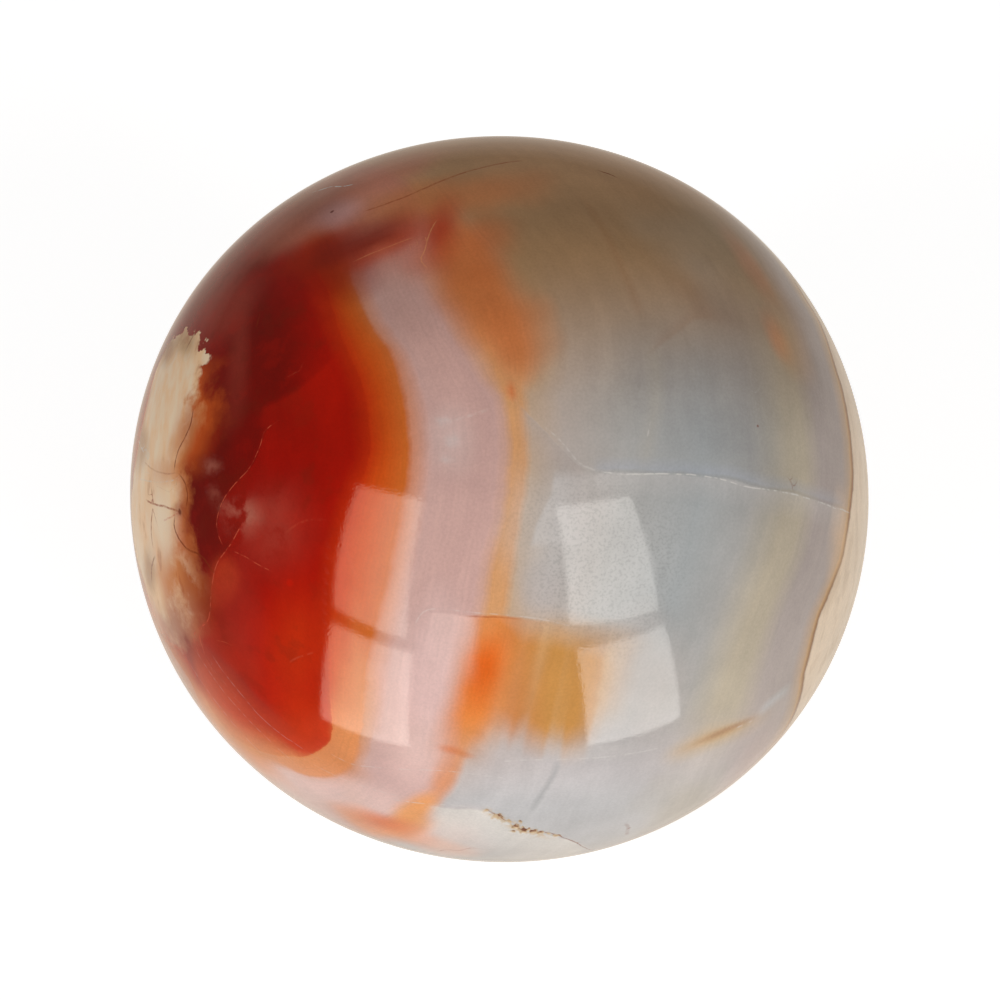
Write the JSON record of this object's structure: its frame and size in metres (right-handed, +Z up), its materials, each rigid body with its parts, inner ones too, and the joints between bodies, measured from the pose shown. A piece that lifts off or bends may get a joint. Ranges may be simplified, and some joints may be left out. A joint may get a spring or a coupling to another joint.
{
  "type": "polished carnelian agate sphere",
  "caption": "Solid polished sphere of banded carnelian agate, a little out of round, with a small flat under it to rest on.",
  "frame": {"origin": "under the middle of the ball, on the plane of the small flat that it rests on", "axes": "+Z up, out of the flat through the ball's centre; +X to the right of the face in the picture, from the red end to the cream rind; -Y to the front, where that face looks out and up"},
  "size_m": [0.0623, 0.0617, 0.0612],
  "materials": {
    "carnelian": "polished"
  },
  "bodies": {
    "root": {"carnelian_sphere": "carnelian"}
  },
  "joints": []
}
